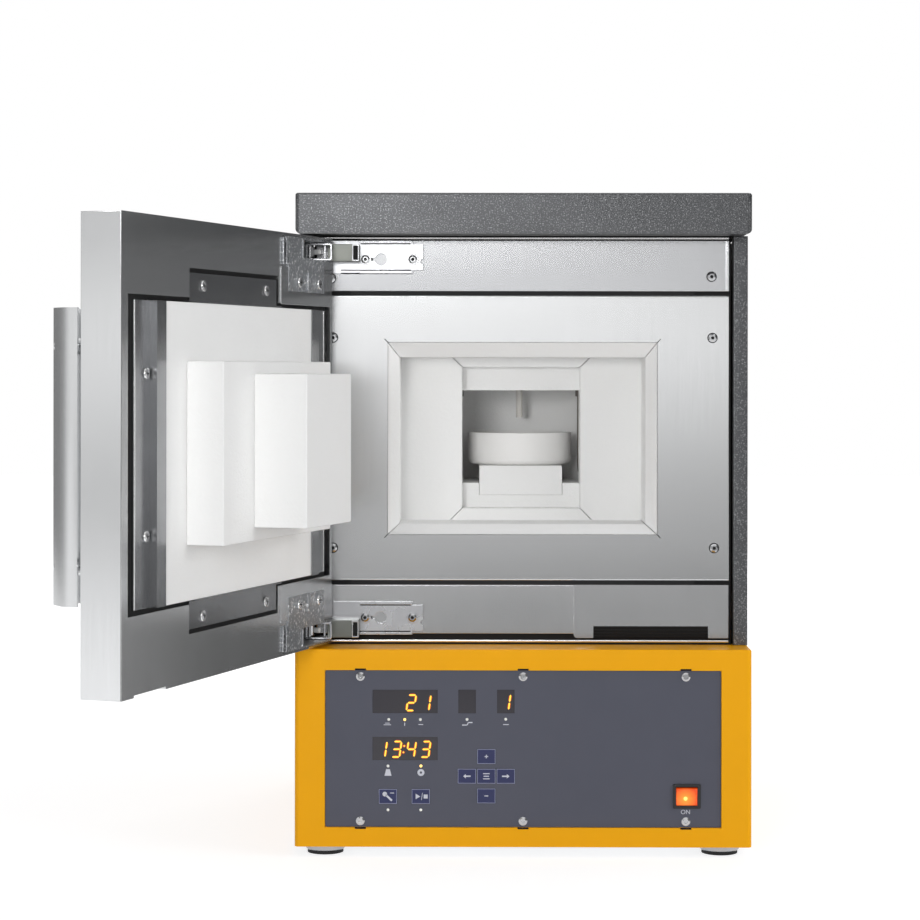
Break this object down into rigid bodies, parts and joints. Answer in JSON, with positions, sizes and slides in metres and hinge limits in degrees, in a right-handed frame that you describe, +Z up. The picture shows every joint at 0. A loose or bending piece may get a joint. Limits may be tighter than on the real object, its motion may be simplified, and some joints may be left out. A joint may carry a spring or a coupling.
{
  "type": "dental lab furnace",
  "caption": "Tabletop sintering furnace: orange base with keypad, grey casing and lid, stainless door with a stepped fibre plug, ceramic chamber with bowl.",
  "frame": {"origin": "on the table, under the middle of the body's footprint", "axes": "front of the furnace faces -Y, +X is right as seen from the front, +Z is up"},
  "size_m": [0.5465, 0.7694, 0.567],
  "materials": {
    "orange_powder": "orange-peel powder coat",
    "grey_powder": "structured grey powder coat",
    "stainless": "brushed",
    "zinc_sheet": "zinc plated",
    "hinge_zinc": "bright plated",
    "screw_steel": "bright plated",
    "black_steel": "black oxide",
    "panel_foil": "fine matt foil",
    "key_foil": "embossed foil",
    "lens": "dark tinted",
    "lamp": "diffused",
    "board": "circuit board",
    "black_plastic": "moulded",
    "rocker_plastic": "lit translucent",
    "foot_metal": "polished",
    "foot_rubber": "moulded",
    "iron_core": "laminated core and copper winding",
    "heatsink": "extruded",
    "fibre_board": "soft fibre board",
    "bowl_ceramic": "fine fired",
    "element": "glazed silicide rod",
    "terminal": "ceramic and clamp",
    "probe": "dense tube"
  },
  "bodies": {
    "furnace_body": {"base_housing": "orange_powder", "base_floor": "zinc_sheet", "foot_cups": "foot_metal", "foot_pads": "foot_rubber", "control_panel": "panel_foil", "panel_screws": "screw_steel", "display_lenses": "lens", "indicator_leds": "lamp", "control_board": "board", "switch_bezel": "black_plastic", "transformer": "iron_core", "power_controller": "heatsink", "mains_inlet": "black_plastic", "left_side_panel": "grey_powder", "right_side_panel": "grey_powder", "rear_panel": "zinc_sheet", "lid": "grey_powder", "cover_screws": "black_steel", "front_frame": "black_steel", "hinge_rail": "stainless", "front_plate": "stainless", "sill_rail": "stainless", "magnet_cover": "stainless", "door_magnet": "black_steel", "front_screws": "screw_steel", "inner_box": "zinc_sheet", "mouth_boards": "fibre_board", "throat_boards": "fibre_board", "chamber_floor": "fibre_board", "chamber_wall": "fibre_board", "chamber_roof": "fibre_board", "pedestal": "fibre_board", "heating_elements": "element", "element_terminals": "terminal", "thermocouple": "probe", "cooling_fan": "black_plastic", "hinge_plates": "hinge_zinc", "hinge_arms": "hinge_zinc"},
    "door": {"hinge_cups": "hinge_zinc", "hinge_pins": "screw_steel", "door_shell": "stainless", "door_frame": "black_steel", "slab_retainers": "stainless", "slab_brackets": "stainless", "door_screws": "screw_steel", "door_slab": "fibre_board", "plug_step": "fibre_board", "plug_nose": "fibre_board", "door_handle": "stainless", "armature_plate": "black_steel"},
    "bowl": {"sintering_bowl": "bowl_ceramic"},
    "rocker": {"power_rocker": "rocker_plastic"},
    "fan": {"fan_rotor": "black_plastic"},
    "key_program_cap": {"key_program": "key_foil"},
    "key_left_cap": {"key_left": "key_foil"},
    "key_right_cap": {"key_right": "key_foil"},
    "key_plus_cap": {"key_plus": "key_foil"},
    "key_minus_cap": {"key_minus": "key_foil"},
    "key_setup_cap": {"key_setup": "key_foil"},
    "key_start_stop_cap": {"key_start_stop": "key_foil"}
  },
  "joints": [
    {"name": "door_swing", "type": "hinge", "parent": "furnace_body", "child": "door", "pos_m": [-0.1835, -0.1937, 0.35475], "axis": [0, 0, -1], "range_deg": [-109, 1]},
    {"name": "bowl_slide", "type": "slide", "parent": "furnace_body", "child": "bowl", "axis": [0, -1, 0], "range_m": [0, 0.18]},
    {"name": "rocker_tilt", "type": "hinge", "parent": "furnace_body", "child": "rocker", "pos_m": [0.1396, -0.2065, 0.0525], "axis": [-1, 0, 0], "range_deg": [0, 14]},
    {"name": "fan_spin", "type": "hinge", "parent": "furnace_body", "child": "fan", "pos_m": [0, 0.19, 0.3555], "axis": [0, 1, 0], "continuous": true},
    {"name": "key_program_press", "type": "slide", "parent": "furnace_body", "child": "key_program_cap", "axis": [0, 1, 0], "range_m": [0, 0.0004], "stiffness_N_per_m": 1500},
    {"name": "key_left_press", "type": "slide", "parent": "furnace_body", "child": "key_left_cap", "axis": [0, 1, 0], "range_m": [0, 0.0004], "stiffness_N_per_m": 1500},
    {"name": "key_right_press", "type": "slide", "parent": "furnace_body", "child": "key_right_cap", "axis": [0, 1, 0], "range_m": [0, 0.0004], "stiffness_N_per_m": 1500},
    {"name": "key_plus_press", "type": "slide", "parent": "furnace_body", "child": "key_plus_cap", "axis": [0, 1, 0], "range_m": [0, 0.0004], "stiffness_N_per_m": 1500},
    {"name": "key_minus_press", "type": "slide", "parent": "furnace_body", "child": "key_minus_cap", "axis": [0, 1, 0], "range_m": [0, 0.0004], "stiffness_N_per_m": 1500},
    {"name": "key_setup_press", "type": "slide", "parent": "furnace_body", "child": "key_setup_cap", "axis": [0, 1, 0], "range_m": [0, 0.0004], "stiffness_N_per_m": 1500},
    {"name": "key_start_stop_press", "type": "slide", "parent": "furnace_body", "child": "key_start_stop_cap", "axis": [0, 1, 0], "range_m": [0, 0.0004], "stiffness_N_per_m": 1500}
  ]
}
